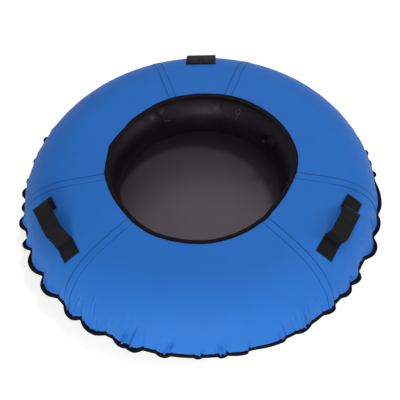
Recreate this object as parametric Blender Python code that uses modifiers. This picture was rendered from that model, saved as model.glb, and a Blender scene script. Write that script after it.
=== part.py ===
"""Snow tube: an inflated rubber tube in a sewn cover with webbing handles and tow loops.

Metres, +Z up. The origin is on the floor under the middle of the seat, and +Y points to the tow loops.
"""

import math
import random

import bmesh
import bpy
from mathutils import Matrix, Vector

# Cover
SEAM_DIAMETER = 0.972
SEAM_HEIGHT = 0.072
CROWN_HEIGHT = 0.191
SECTION_POWER = 2.15
HOLE_DIAMETER = 0.509
TOP_CLOTH = 0.0010
BASE_CLOTH = 0.0012
PANEL_GAP = 0.0006
NARROW_PANEL_ANGLE = math.radians(36.8)
NARROW_PANELS = {
    "tow": math.radians(90),
    "left_handle": math.radians(210),
    "right_handle": math.radians(330),
}
WIDE_PANELS = {
    "back_right": math.radians(30),
    "back_left": math.radians(150),
    "front": math.radians(270),
}

# How the hole's edge strays from a circle: times round, reach, direction of the first peak
HOLE_STRAY = (
    (1, 0.0049, math.radians(10)),
    (2, 0.0036, math.radians(52)),
    (3, 0.0025, math.radians(26)),
    (4, 0.0027, math.radians(1)),
)

# Tapes that bind and back the seams
BINDING_WIDTH = 0.012
BINDING_CLOTH = 0.0010
FLANGE_WIDTH = 0.0125
SEAM_TAPE_WIDTH = 0.026
SEAM_TAPE_CLOTH = 0.0008
SEAM_TAPE_START = 0.016

# Gathers of the outer edge, as the directions in degrees where the cloth is pinched
GATHERS = (
    0.5, 7.4, 12.0, 17.0, 26.0, 34.5, 42.5, 52.0, 60.0, 67.5, 76.5, 84.0, 92.5, 100.5,
    110.0, 118.5, 126.0, 135.0, 144.0, 154.0, 163.0, 171.7, 178.1, 183.4, 189.6, 197.0,
    205.0, 214.5, 224.5, 233.8, 242.5, 250.0, 258.2, 268.9, 275.4, 283.9, 295.4, 302.4,
    310.5, 319.0, 324.1, 329.8, 340.4, 349.1,
)
GATHER_DEPTH = 0.012
GATHER_DROP = 0.005
GATHER_SPREAD = 0.25
GATHER_ROUNDNESS = 0.8
PINCH_SHARE = 0.6
DROP_SHARE = 0.5
GATHER_START = 0.955
GATHER_SEED = 7
SAMPLES_PER_GATHER = 3
SEAM_CLEAR = math.radians(0.8)

# Inner tube
SEAT_DIAMETER = 0.450
TUBE_TO_SEAM = 0.0190
TUBE_WALL = 0.0025
TUBE_TURNS = 36
TUBE_SIDES = 16
TUBE_SLACK = 0.0015
PANEL_STEPS = 5
BASE_STEPS = 3

# Webbing
STRAP_WIDTH = 0.045
STRAP_CLOTH = 0.0016
HANDLE_TO_SEAM = 0.079
HANDLE_LENGTH = 0.194
TAB_LENGTH = 0.045
ARCH_HEIGHT = 0.035
ARCH_FOOT = 0.014
ARCH_POWER = 3.2
ARCH_TWIST = math.radians(17)
ARCH_STATIONS = 14
TAB_STEPS = 3
TOW_START_TO_SEAM = 0.102
TOW_TAB_LENGTH = 0.046
TOW_LOOP_LENGTH = 0.087
TOW_EYE_HEIGHT = 0.0148
TOW_PARTING = 0.025
TOW_HANG = math.radians(4.8)
TOW_LOOP_LIFT = 0.0010
TOW_UNDERSIDE_SLOPE = math.radians(33)

# Valve
VALVE_DIRECTION = math.radians(30)
VALVE_BASE_RADIUS = 0.018
VALVE_BOSS_RADIUS = 0.0075
VALVE_BOSS_HEIGHT = 0.010
VALVE_FILLET = 0.0023
VALVE_PATCH = 0.0012
STEM_RADIUS = 0.0040
STEM_BORE = 0.0023
STEM_LENGTH = 0.030
STEM_FOOT_RADIUS = 0.0065
STEM_FOOT_CLOTH = 0.0015
STEM_FOOT_GAP = 0.0018
CORE_LENGTH = 0.012
CORE_BORE = 0.0008
CORE_DEPTH = 0.0030
PIN_RADIUS = 0.0005
PIN_HEAD_RADIUS = 0.0010
PIN_SEAL = 0.0010
PIN_TRAVEL = 0.0012
CAP_WALL = 0.0012
CAP_DEPTH = 0.009
VALVE_SIDES = 16

# Clearances
SEAT_GAP = 0.0003
TAPE_GAP = 0.0005
EDGE_TAPE_GAP = 0.0010
CUT_PAST = 0.004
SMALL = 1e-5

# Worked out from the sizes above
SEAM_RADIUS = SEAM_DIAMETER / 2
HOLE_RADIUS = HOLE_DIAMETER / 2
TUBE_OUTER = SEAM_RADIUS - TUBE_TO_SEAM
TUBE_INNER = SEAT_DIAMETER / 2
CROWN_RADIUS = (TUBE_OUTER + TUBE_INNER) / 2
TUBE_HALF_WIDTH = (TUBE_OUTER - TUBE_INNER) / 2
TUBE_BOTTOM = BASE_CLOTH + SEAT_GAP
TUBE_TOP = CROWN_HEIGHT - TOP_CLOTH - TAPE_GAP - SEAM_TAPE_CLOTH - TUBE_SLACK
TUBE_HALF_HEIGHT = (TUBE_TOP - TUBE_BOTTOM) / 2
TUBE_MIDDLE = (TUBE_TOP + TUBE_BOTTOM) / 2
VALVE_CLIMB = math.tau / TUBE_SIDES
FLANGE_GAP = SEAT_GAP
FLANGE_TOP = FLANGE_GAP + TOP_CLOTH
FLANGE_BOTTOM = -FLANGE_GAP - BASE_CLOTH
SEAM_TRIM = PANEL_GAP / 2 / HOLE_RADIUS
HALF_STRAP = STRAP_WIDTH / 2
HANDLE_RADIUS = SEAM_RADIUS - HANDLE_TO_SEAM
ARCH_HALF_SPAN = HANDLE_LENGTH / 2 - TAB_LENGTH
TOW_LAYERS = 2 * STRAP_CLOTH + SEAT_GAP
TOW_START_RADIUS = SEAM_RADIUS - TOW_START_TO_SEAM
TOW_HINGE_RADIUS = TOW_START_RADIUS + TOW_TAB_LENGTH + TOW_LAYERS / 2 + SEAT_GAP
TOW_PITCH = STRAP_WIDTH + PANEL_GAP

BLUE = (0.030, 0.140, 0.520)
BLACK = (0.012, 0.011, 0.014)
RUBBER = (0.010, 0.009, 0.010)
FLOOR_GREY = (0.075, 0.065, 0.075)
BRASS = (0.62, 0.50, 0.28)


def clear_scene():
    for obj in list(bpy.data.objects):
        bpy.data.objects.remove(obj, do_unlink=True)


def new_collection(name, hidden=False):
    collection = bpy.data.collections.new(name)
    bpy.context.scene.collection.children.link(collection)
    collection.hide_render = hidden
    return collection


def new_material(name, colour, roughness, metallic=0.0):
    material = bpy.data.materials.new(name)
    material.use_nodes = True
    shader = material.node_tree.nodes["Principled BSDF"]
    shader.inputs["Base Color"].default_value = (*colour, 1)
    shader.inputs["Roughness"].default_value = roughness
    shader.inputs["Metallic"].default_value = metallic
    return material


def smooth_step(x):
    x = min(max(x, 0.0), 1.0)
    return x * x * (3 - 2 * x)


# Shape of the cover


def hole_stray(direction):
    return sum(reach * math.cos(times * (direction - peak)) for times, reach, peak in HOLE_STRAY)


def gather_cells():
    """(start, end, depth share) of the cloth between each two pinches, in radians."""
    dice = random.Random(GATHER_SEED)
    ends = GATHERS[1:] + (GATHERS[0] + 360,)
    return [
        (math.radians(a), math.radians(b), 1 + dice.uniform(-GATHER_SPREAD, GATHER_SPREAD))
        for a, b in zip(GATHERS, ends)
    ]


CELLS = gather_cells()


def seam_directions():
    """The directions of the six seams between the panels, in turn from 0."""
    middles = NARROW_PANELS.values()
    return sorted((m + s * NARROW_PANEL_ANGLE / 2) % math.tau for m in middles for s in (-1, 1))


def sample_directions():
    """The directions at which every sewn piece has its points, so that neighbours match."""
    found = []
    for start, end, _ in CELLS:
        step = (end - start) / SAMPLES_PER_GATHER
        found += [(start + i * step) % math.tau for i in range(SAMPLES_PER_GATHER)]
    seams = seam_directions()
    found = [d for d in found if min(abs(d - s) for s in seams) > SEAM_CLEAR]
    return sorted(found + [s + side * SEAM_TRIM for s in seams for side in (-1, 1)])


def bulge(direction):
    """Share of the gathers' depth at a direction: 0 at a pinch and about 1 midway."""
    for start, end, share in CELLS:
        turned = start + (direction - start) % math.tau
        if turned <= end:
            along = (turned - start) / (end - start)
            return share * math.sin(math.pi * along) ** GATHER_ROUNDNESS
    return 0.0


def seam_shift(direction):
    """(outward, upward) shift of the outer seam where the gathers pinch or let out the cloth."""
    out = bulge(direction)
    return GATHER_DEPTH * (out - PINCH_SHARE), -GATHER_DROP * (out - DROP_SHARE)


def cover_height(radius):
    """Height of the top cloth's outer face, with no gathers, from the hole to the seam."""
    x = min(max((radius - CROWN_RADIUS) / (SEAM_RADIUS - CROWN_RADIUS), 0.0), 1.0)
    fall = CROWN_HEIGHT - SEAM_HEIGHT - FLANGE_TOP
    return SEAM_HEIGHT + FLANGE_TOP + fall * (1 - x**SECTION_POWER) ** (1 / SECTION_POWER)


def quarter(angle):
    """(outward, upward) shares of a quarter of the rounded section, from its crown to its side."""
    power = 2 / SECTION_POWER
    return math.sin(angle) ** power, max(math.cos(angle), 0.0) ** power


def quarter_rows(steps, start_height, end_height):
    """Rows (radius, height, share of the gathers) from the crown circle to the seam."""
    rows = []
    for i in range(steps + 1):
        angle = math.pi / 2 * i / steps
        out, up = quarter(angle)
        radius = CROWN_RADIUS + (SEAM_RADIUS - CROWN_RADIUS) * out
        height = end_height + (start_height - end_height) * up
        rows.append((radius, height, smooth_step((out - GATHER_START) / (1 - GATHER_START))))
    return rows


def flange_row(height, width=FLANGE_WIDTH):
    return (SEAM_RADIUS + width, height, 1.0)


def ring_point(direction, radius, height, gathered=0.0, hole=0.0):
    out, up = seam_shift(direction) if gathered else (0.0, 0.0)
    r = radius + gathered * out + hole * hole_stray(direction)
    return Vector((r * math.cos(direction), r * math.sin(direction), height + gathered * up))


def handle_frame(middle):
    return (
        Vector((math.cos(middle), math.sin(middle), 0)),
        Vector((-math.sin(middle), math.cos(middle), 0)),
    )


def on_cover(middle, out, along, lift=0.0):
    """A point above the cover, out and along a tangent at direction middle."""
    outward, tangent = handle_frame(middle)
    flat = outward * out + tangent * along
    radius = flat.length
    slope = (cover_height(radius + SMALL) - cover_height(radius - SMALL)) / (2 * SMALL)
    normal = Vector((-slope * flat.x / radius, -slope * flat.y / radius, 1)).normalized()
    return Vector((flat.x, flat.y, cover_height(radius))) + normal * lift


# Making solids


def add_mesh(name, bm, collection, material, smooth=True):
    mesh = bpy.data.meshes.new(name)
    bm.to_mesh(mesh)
    bm.free()
    if smooth:
        mesh.shade_smooth()
        mesh.set_sharp_from_angle(angle=math.radians(40))
    obj = bpy.data.objects.new(name, mesh)
    obj.data.materials.append(material)
    collection.objects.link(obj)
    return obj


def cloth(name, rows, thickness, collection, material, ring=False, floor=False, offset=-1):
    """A sheet through rows of points, made solid. A ring closes each row; a floor fills the first."""
    bm = bmesh.new()
    grid = [[bm.verts.new(point) for point in row] for row in rows]
    count = len(rows[0])
    for lower, upper in zip(grid, grid[1:]):
        for i in range(count if ring else count - 1):
            j = (i + 1) % count
            bm.faces.new((lower[i], upper[i], upper[j], lower[j]))
    if floor:
        bm.faces.new(grid[0])
    obj = add_mesh(name, bm, collection, material)
    solid = obj.modifiers.new("Thickness", "SOLIDIFY")
    solid.thickness = thickness
    solid.offset = offset
    solid.use_even_offset = True
    return obj


def directions_between(start, end):
    """The shared sample directions inside a span."""
    return sorted(
        turned_on
        for turned_on in (start + (d - start) % math.tau for d in sample_directions())
        if turned_on < end
    )


def turned(name, profile, collection, material, place, sides=VALVE_SIDES):
    """A solid of revolution: a closed outline of (radius, height) points about its own Z axis."""
    bm = bmesh.new()
    points = [bm.verts.new((radius, 0, height)) for radius, height in profile]
    for a, b in zip(points, points[1:] + points[:1]):
        bm.edges.new((a, b))
    obj = add_mesh(name, bm, collection, material)
    screw = obj.modifiers.new("Turn", "SCREW")
    screw.steps = sides
    screw.render_steps = sides
    screw.use_merge_vertices = True
    screw.merge_threshold = SMALL
    obj.matrix_world = place
    return obj


def cut(obj, cutter):
    boolean = obj.modifiers.new("Cut by " + cutter.name, "BOOLEAN")
    boolean.operation = "DIFFERENCE"
    boolean.object = cutter


def as_cutter(obj):
    obj.hide_render = True
    obj.display_type = "WIRE"
    return obj


# The cover


def make_panels(parts, material):
    """Six top panels, narrow and wide in turn, from the hole's edge to the outer flange."""
    rows = [(HOLE_RADIUS - BINDING_WIDTH + 3 * BINDING_CLOTH, CROWN_HEIGHT, 0.0)]
    rows += quarter_rows(PANEL_STEPS, CROWN_HEIGHT, SEAM_HEIGHT + FLANGE_TOP)
    rows.append(flange_row(SEAM_HEIGHT + FLANGE_TOP))
    narrow = NARROW_PANEL_ANGLE / 2
    wide = math.pi / 3 - narrow
    spans = [(name, middle, narrow) for name, middle in NARROW_PANELS.items()]
    spans += [(name, middle, wide) for name, middle in WIDE_PANELS.items()]
    for name, middle, half in spans:
        directions = directions_between(middle - half, middle + half)
        sheet = [
            [ring_point(d, radius, height, gathered, hole=float(i == 0)) for d in directions]
            for i, (radius, height, gathered) in enumerate(rows)
        ]
        cloth(name + "_panel", sheet, TOP_CLOTH, parts, material)


def make_seam_tapes(parts, material):
    """A tape behind each panel seam, which both rows of its stitches go through."""
    depth = TOP_CLOTH + TAPE_GAP
    rows = quarter_rows(PANEL_STEPS, CROWN_HEIGHT, SEAM_HEIGHT + FLANGE_TOP)
    rows = [row for row in rows if row[2] == 0]
    for number, middle in enumerate(seam_directions(), 1):
        start = HOLE_RADIUS + hole_stray(middle) + SEAM_TAPE_START
        sheet = []
        for radius, height, gathered in [(start, CROWN_HEIGHT, 0.0), *rows]:
            half = SEAM_TAPE_WIDTH / 2 / radius
            sheet.append(
                [ring_point(middle + s * half, radius, height, gathered) for s in (-1, 0, 1)]
            )
        tape = [sunk_row(sheet, i, depth) for i in range(len(sheet))]
        cloth(f"seam_tape_{number}", tape, SEAM_TAPE_CLOTH, parts, material)


def sunk_row(sheet, i, depth):
    """Row i of a sheet, moved in along the sheet's own normals."""
    before = sheet[max(i - 1, 0)]
    after = sheet[min(i + 1, len(sheet) - 1)]
    along = (after[1] - before[1]).normalized()
    across = (sheet[i][2] - sheet[i][0]).normalized()
    normal = along.cross(across).normalized()
    return [point - normal * depth for point in sheet[i]]


def make_rim_binding(parts, material):
    """Black tape folded over the hole's edge."""
    inner = HOLE_RADIUS - BINDING_WIDTH
    top = CROWN_HEIGHT + SEAT_GAP + BINDING_CLOTH
    bottom = CROWN_HEIGHT - TOP_CLOTH - SEAT_GAP - BINDING_CLOTH
    channel = [(HOLE_RADIUS, bottom), (inner, bottom), (inner, top), (HOLE_RADIUS, top)]
    directions = sample_directions()[::2]
    rows = [[ring_point(d, r, z, hole=1.0) for d in directions] for r, z in channel]
    cloth("rim_binding", rows, BINDING_CLOTH, parts, material, ring=True)


def make_edge_binding(parts, material):
    """Black tape folded over the gathered outer flange."""
    start = SEAM_RADIUS + EDGE_TAPE_GAP
    tip = SEAM_RADIUS + FLANGE_WIDTH + EDGE_TAPE_GAP + BINDING_CLOTH
    top = SEAM_HEIGHT + FLANGE_TOP + EDGE_TAPE_GAP + BINDING_CLOTH
    bottom = SEAM_HEIGHT + FLANGE_BOTTOM - EDGE_TAPE_GAP - BINDING_CLOTH
    channel = [(start, top), (tip, top), (tip, bottom), (start, bottom)]
    directions = sample_directions()
    rows = [[ring_point(d, r, z, gathered=1.0) for d in directions] for r, z in channel]
    cloth("edge_binding", rows, BINDING_CLOTH, parts, material, ring=True)


def make_base(parts, material):
    """One round of coated cloth: flat under the seat and tube, then up to the outer seam."""
    edge = SEAM_HEIGHT + FLANGE_BOTTOM
    rows = [*quarter_rows(BASE_STEPS, 0.0, edge), flange_row(edge)]
    directions = sample_directions()[::-1]
    sheet = [[ring_point(d, r, z, gathered) for d in directions] for r, z, gathered in rows]
    cloth("base_cover", sheet, BASE_CLOTH, parts, material, ring=True, floor=True)


# The inner tube and its valve


def tube_outline(grow=0.0):
    """Closed section of the tube as (radius, height), counted from its outer side over the top."""
    points = []
    for i in range(TUBE_SIDES):
        angle = math.tau * i / TUBE_SIDES
        out, up = (
            math.copysign(abs(f(angle)) ** (2 / SECTION_POWER), f(angle))
            for f in (math.cos, math.sin)
        )
        points.append(
            (
                CROWN_RADIUS + (TUBE_HALF_WIDTH + grow) * out,
                TUBE_MIDDLE + (TUBE_HALF_HEIGHT + grow) * up,
            )
        )
    return points[::-1]


def valve_place():
    """Matrix of the valve: its origin on the tube's inner side, its Z along the stem."""
    out = math.cos(VALVE_CLIMB) ** (2 / SECTION_POWER)
    up = math.sin(VALVE_CLIMB) ** (2 / SECTION_POWER)
    radius = CROWN_RADIUS - TUBE_HALF_WIDTH * out
    height = TUBE_MIDDLE + TUBE_HALF_HEIGHT * up
    power = SECTION_POWER - 1
    lean = math.atan2(up**power / TUBE_HALF_HEIGHT, out**power / TUBE_HALF_WIDTH)
    place = Matrix.Rotation(VALVE_DIRECTION, 4, "Z") @ Matrix.Translation((radius, 0, height))
    return place @ Matrix.Rotation(lean - math.pi / 2, 4, "Y")


def make_tube(parts, cutters, material, place):
    tube = turned("inner_tube", tube_outline(), parts, material, Matrix.Identity(4), TUBE_TURNS)
    wall = tube.modifiers.new("Wall", "SOLIDIFY")
    wall.thickness = TUBE_WALL
    wall.offset = -1
    hole = STEM_RADIUS + SEAT_GAP
    depth = -TUBE_WALL - CUT_PAST
    outline = [(0, CUT_PAST), (hole, CUT_PAST), (hole, depth), (0, depth)]
    drill = as_cutter(turned("valve_hole", outline, cutters, material, place))
    cut(tube, drill)


def make_valve(parts, cutters, materials, place):
    bore = STEM_RADIUS + SEAT_GAP
    base = turned(
        "valve_base",
        [
            (bore, VALVE_BOSS_HEIGHT),
            (VALVE_BOSS_RADIUS, VALVE_BOSS_HEIGHT),
            (VALVE_BOSS_RADIUS + VALVE_FILLET, VALVE_PATCH + VALVE_FILLET),
            (VALVE_BASE_RADIUS, VALVE_PATCH),
            (VALVE_BASE_RADIUS, -CUT_PAST),
            (bore, -CUT_PAST),
        ],
        parts,
        materials["rubber"],
        place,
    )
    shape = tube_outline(grow=SEAT_GAP)
    still = Matrix.Identity(4)
    space = turned("tube_space", shape, cutters, materials["rubber"], still, TUBE_TURNS)
    cut(base, as_cutter(space))
    foot_top = -TUBE_WALL - STEM_FOOT_GAP
    foot_bottom = foot_top - STEM_FOOT_CLOTH
    turned(
        "valve_stem",
        [
            (STEM_BORE, STEM_LENGTH),
            (STEM_RADIUS, STEM_LENGTH),
            (STEM_RADIUS, foot_top),
            (STEM_FOOT_RADIUS, foot_top),
            (STEM_FOOT_RADIUS, foot_bottom),
            (STEM_BORE, foot_bottom),
        ],
        parts,
        materials["brass"],
        place,
    )
    core_top = STEM_LENGTH - CORE_DEPTH
    core_bottom = core_top - CORE_LENGTH
    core_radius = STEM_BORE - SEAT_GAP
    turned(
        "valve_core",
        [
            (CORE_BORE, core_top),
            (core_radius, core_top),
            (core_radius, core_bottom),
            (CORE_BORE, core_bottom),
        ],
        parts,
        materials["brass"],
        place,
    )
    head_top = STEM_LENGTH - SEAT_GAP
    head_bottom = core_top + PIN_TRAVEL + SEAT_GAP
    seal_top = core_bottom - SEAT_GAP
    seal_bottom = seal_top - PIN_SEAL
    turned(
        "valve_pin",
        [
            (0, head_top),
            (PIN_HEAD_RADIUS, head_top),
            (PIN_HEAD_RADIUS, head_bottom),
            (PIN_RADIUS, head_bottom),
            (PIN_RADIUS, seal_top),
            (core_radius, seal_top),
            (core_radius, seal_bottom),
            (0, seal_bottom),
        ],
        parts,
        materials["brass"],
        place,
    )
    cap_bore = STEM_RADIUS + SEAT_GAP
    roof = STEM_LENGTH + SEAT_GAP
    turned(
        "valve_cap",
        [
            (0, roof + CAP_WALL),
            (cap_bore + CAP_WALL, roof + CAP_WALL),
            (cap_bore + CAP_WALL, roof - CAP_DEPTH),
            (cap_bore, roof - CAP_DEPTH),
            (cap_bore, roof),
            (0, roof),
        ],
        parts,
        materials["plastic"],
        place,
    )


# Webbing


def strap_point(middle, along, rise, across):
    """A point on a handle's strap: on the cover where rise is 0, straight and turned level above it."""
    flexed = on_cover(middle, HANDLE_RADIUS + across, along, rise)
    centre = on_cover(middle, HANDLE_RADIUS, along, rise)
    outward = handle_frame(middle)[0]
    edge = on_cover(middle, HANDLE_RADIUS + SMALL, along) - on_cover(middle, HANDLE_RADIUS, along)
    slope = math.atan2(edge.z, edge.dot(outward))
    tilt = slope + ARCH_TWIST * smooth_step(rise / ARCH_HEIGHT)
    width = outward * math.cos(tilt) + Vector((0, 0, math.sin(tilt)))
    straight = centre + width * across / math.cos(slope)
    return flexed.lerp(straight, smooth_step(rise / ARCH_FOOT))


def strap_across():
    """Places across the strap's width, measured flat from the middle."""
    edge = on_cover(0, HANDLE_RADIUS + SMALL, 0) - on_cover(0, HANDLE_RADIUS, 0)
    flat = HALF_STRAP * edge.x / edge.length
    return [flat * share for share in (-1, -0.5, 0, 0.5, 1)]


def arch_path():
    """(along, rise) of the strap's underside from one fold over the arch to the other."""
    path = []
    for i in range(ARCH_STATIONS + 1):
        angle = math.pi * i / ARCH_STATIONS
        along = math.copysign(abs(math.cos(angle)) ** (2 / ARCH_POWER), -math.cos(angle))
        path.append((ARCH_HALF_SPAN * along, ARCH_HEIGHT * math.sin(angle) ** (2 / ARCH_POWER)))
    return path


def make_handle(side, middle, parts, material):
    across = strap_across()
    lift = SEAT_GAP
    for end, sign in (("a", -1), ("b", 1)):
        start = ARCH_HALF_SPAN + SEAT_GAP
        stops = [sign * (start + TAB_LENGTH * i / TAB_STEPS) for i in range(TAB_STEPS + 1)]
        rows = [[strap_point(middle, s, lift, w) for w in across[::-sign]] for s in stops]
        cloth(f"{side}_handle_tab_{end}", rows, STRAP_CLOTH, parts, material, offset=1)
        foot = sign * (ARCH_HALF_SPAN - STRAP_CLOTH)
        rise = [lift, ARCH_FOOT / 3, ARCH_FOOT - SEAT_GAP]
        rows = [[strap_point(middle, foot, up, w) for w in across[::-sign]] for up in rise]
        cloth(f"{side}_handle_fold_{end}", rows, STRAP_CLOTH, parts, material, offset=-1)
    path = [(s, up) for s, up in arch_path() if up > ARCH_FOOT]
    foot = ARCH_HALF_SPAN - STRAP_CLOTH
    path = [(-foot, ARCH_FOOT), *path, (foot, ARCH_FOOT)]
    rows = [[strap_point(middle, s, up, w) for w in across[::2]] for s, up in path]
    cloth(f"{side}_handle_grip", rows, STRAP_CLOTH, parts, material, offset=1)


def tow_droop():
    """How far below level a loop hangs: a little steeper than the cover under its hinge."""
    middle = NARROW_PANELS["tow"]
    step = on_cover(middle, TOW_HINGE_RADIUS + SMALL, 0) - on_cover(middle, TOW_HINGE_RADIUS, 0)
    return math.atan2(-step.z, step.y) + TOW_HANG


def loop_outline():
    """(outer, inner) outlines of a tow loop from its hinge line, along its droop and above it."""
    droop = tow_droop()
    foot = TOW_LAYERS / 2
    nose = TOW_EYE_HEIGHT / 2 + STRAP_CLOTH
    middle = (TOW_LOOP_LENGTH - nose, foot - nose)
    slope = TOW_UNDERSIDE_SLOPE
    end = (middle[0] - nose * math.sin(slope), middle[1] - nose * math.cos(slope))
    fall = -foot - end[1]
    power = math.tan(slope) * (end[0] - TOW_PARTING) / fall
    shares = [i / 6 for i in range(1, 6)]
    under = [
        (TOW_PARTING + (end[0] - TOW_PARTING) * share, -foot - fall * share**power)
        for share in shares[::-1]
    ]
    turns = [math.pi / 2 - (math.pi + slope) * i / 12 for i in range(13)]
    outer = [(-foot * math.sin(a), -foot * math.cos(a)) for a in (math.pi * i / 6 for i in range(7))]
    outer += [(middle[0] + nose * math.cos(a), middle[1] + nose * math.sin(a)) for a in turns]
    outer += [*under, (TOW_PARTING, -foot)]
    inside = nose - STRAP_CLOTH
    inner = [(middle[0] + inside * math.cos(a), middle[1] + inside * math.sin(a)) for a in turns]
    inner += [(x, y + STRAP_CLOTH) for x, y in under[:-1]]
    inner.append((under[-1][0], 0))
    return [[drooped(point, droop) for point in outline] for outline in (outer, inner)]


def drooped(point, droop):
    along, up = point
    return (
        along * math.cos(droop) + up * math.sin(droop),
        up * math.cos(droop) - along * math.sin(droop),
    )


def make_tow_loops(parts, material):
    """Two webbing loops side by side, each with both of its ends sewn flat to the cover."""
    middle = NARROW_PANELS["tow"]
    for side, sign in (("left", -1), ("right", 1)):
        centre = -sign * TOW_PITCH / 2
        across = [centre + STRAP_WIDTH * (i / TAB_STEPS - 0.5) for i in range(TAB_STEPS + 1)]
        outs = [TOW_START_RADIUS + TOW_TAB_LENGTH * i / TAB_STEPS for i in range(TAB_STEPS + 1)]
        rows = [[on_cover(middle, out, along, SEAT_GAP) for along in across] for out in outs]
        cloth(f"{side}_tow_tab", rows, TOW_LAYERS, parts, material, offset=1)
        make_loop(side, sign * TOW_PITCH / 2, parts, material)


def tow_hinge():
    middle = NARROW_PANELS["tow"]
    return on_cover(middle, TOW_HINGE_RADIUS, 0, SEAT_GAP + TOW_LAYERS / 2 + TOW_LOOP_LIFT)


def make_loop(side, sideways, parts, material):
    """A loop's outline drawn flat and given the webbing's width."""
    curve = bpy.data.curves.new(f"{side}_tow_loop", "CURVE")
    curve.dimensions = "2D"
    curve.fill_mode = "BOTH"
    curve.extrude = HALF_STRAP
    for outline in loop_outline():
        spline = curve.splines.new("POLY")
        spline.points.add(len(outline) - 1)
        for point, (x, y) in zip(spline.points, outline):
            point.co = (x, y, 0, 1)
        spline.use_cyclic_u = True
    curve.materials.append(material)
    obj = bpy.data.objects.new(f"{side}_tow_loop", curve)
    obj.location = tow_hinge() + Vector((sideways, 0, 0))
    obj.rotation_euler = (math.pi / 2, 0, math.pi / 2)
    parts.objects.link(obj)


def main():
    clear_scene()
    parts = new_collection("snow_tube")
    cutters = new_collection("cutters", hidden=True)
    materials = {
        "top": new_material("cover_blue", BLUE, 0.55),
        "base": new_material("base_grey", FLOOR_GREY, 0.45),
        "binding": new_material("binding_black", BLACK, 0.8),
        "webbing": new_material("webbing_black", BLACK, 0.75),
        "rubber": new_material("butyl_rubber", RUBBER, 0.4),
        "brass": new_material("valve_brass", BRASS, 0.35, 1.0),
        "plastic": new_material("cap_plastic", BLACK, 0.5),
    }
    make_panels(parts, materials["top"])
    make_seam_tapes(parts, materials["binding"])
    make_rim_binding(parts, materials["binding"])
    make_edge_binding(parts, materials["binding"])
    make_base(parts, materials["base"])
    place = valve_place()
    make_tube(parts, cutters, materials["rubber"], place)
    make_valve(parts, cutters, materials, place)
    make_handle("left", NARROW_PANELS["left_handle"], parts, materials["webbing"])
    make_handle("right", NARROW_PANELS["right_handle"], parts, materials["webbing"])
    make_tow_loops(parts, materials["webbing"])


main()
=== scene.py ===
import math
import random

import bpy
import numpy as np
from mathutils import Matrix, Vector


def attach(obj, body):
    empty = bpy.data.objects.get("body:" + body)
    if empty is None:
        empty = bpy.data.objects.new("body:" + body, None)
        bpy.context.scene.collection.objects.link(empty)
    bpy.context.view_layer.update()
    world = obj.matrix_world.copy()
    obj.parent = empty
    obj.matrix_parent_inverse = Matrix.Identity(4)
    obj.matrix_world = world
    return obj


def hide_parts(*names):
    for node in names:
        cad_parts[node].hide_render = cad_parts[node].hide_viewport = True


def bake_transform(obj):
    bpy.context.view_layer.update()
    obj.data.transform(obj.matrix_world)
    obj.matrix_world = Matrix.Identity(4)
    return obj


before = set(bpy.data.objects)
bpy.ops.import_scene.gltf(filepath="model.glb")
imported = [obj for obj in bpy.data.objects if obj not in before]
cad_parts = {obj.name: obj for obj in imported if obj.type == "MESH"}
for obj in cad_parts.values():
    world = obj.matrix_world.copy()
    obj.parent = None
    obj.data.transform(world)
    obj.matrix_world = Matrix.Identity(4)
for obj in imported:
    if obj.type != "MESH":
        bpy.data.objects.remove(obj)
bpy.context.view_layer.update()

scene = bpy.context.scene
dice = random.Random(11)

# The cover's shape, in metres, as in the model
SECTION_POWER = 2.15
CROWN_RADIUS = 0.346
CROWN_HEIGHT = 0.191
SEAM_RADIUS = 0.486
SEAM_TOP = 0.0733
SEAM_BOTTOM = 0.0705
SEAM_HEIGHT = (SEAM_TOP + SEAM_BOTTOM) / 2
HOLE_RADIUS = 0.2545
FLAT_WIDTH = CROWN_RADIUS - HOLE_RADIUS
TOP_CLOTH = 0.0010
BASE_CLOTH = 0.0012
NARROW_HALF = math.radians(18.4)
NARROW_PANELS = {"tow_panel": 90, "left_handle_panel": 210, "right_handle_panel": 330}
WIDE_PANELS = {"back_right_panel": 30, "back_left_panel": 150, "front_panel": 270}
# Waves in the outline of the hole: how many go round it, reach in metres, direction of a crest in degrees
HOLE_STRAY = ((1, 0.0049, 10), (2, 0.0036, 52), (3, 0.0025, 26), (4, 0.0027, 1))
# Kinks in that outline: direction in degrees, outward reach in mm
HOLE_KINKS = (
    (4, 4), (16, 1), (50, 1), (62, 1.5), (76, -0.5), (82, -3), (100, -3), (105, -0.5), (120, 0), (132, -2),
    (144, -1), (149, -4.5), (157, -2), (162, 0), (167, 3.2), (171, 0.5), (177, -1.5), (183, 0), (189, 2.5),
    (196, 1), (212, 0), (223, 0.2), (230, 2.5), (243, 3.2), (251, 1), (259, -0.7), (268, -0.2), (277, 1.5),
    (288, 3), (300, 4.8), (307, 4.8), (311, 6.4), (314, 5.8), (318, 2.8), (326, 1.2), (340, 0), (345, 0.5),
    (350, 3),
)
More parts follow.
